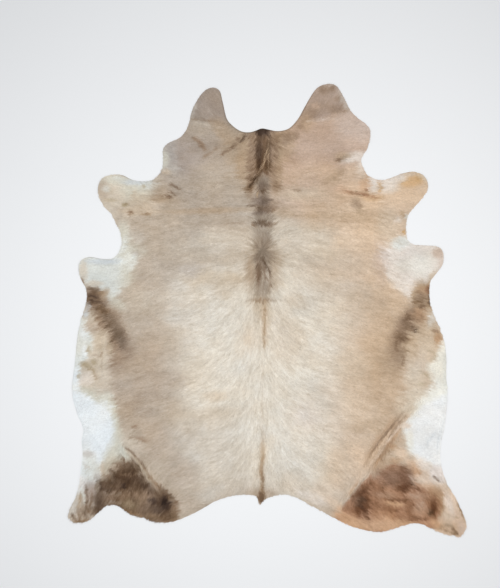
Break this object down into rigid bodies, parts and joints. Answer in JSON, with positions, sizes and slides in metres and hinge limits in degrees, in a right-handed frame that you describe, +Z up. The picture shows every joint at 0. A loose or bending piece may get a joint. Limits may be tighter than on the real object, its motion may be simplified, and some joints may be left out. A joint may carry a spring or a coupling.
{
  "type": "cowhide",
  "caption": "Whole tanned cowhide with short hair, laid out flat with its hair side up, to cover a floor or drape over a seat.",
  "frame": {"origin": "on the surface that the hide lies on, under the line of the spine and half way along it", "axes": "+Y along the spine to the head, +Z up through the hair side, +X to the right as seen from above"},
  "size_m": [1.9797, 2.2563, 0.01],
  "materials": {
    "coat": "short hair, warm greige with brown and white patches"
  },
  "bodies": {
    "root": {"hide": "coat"}
  },
  "joints": []
}
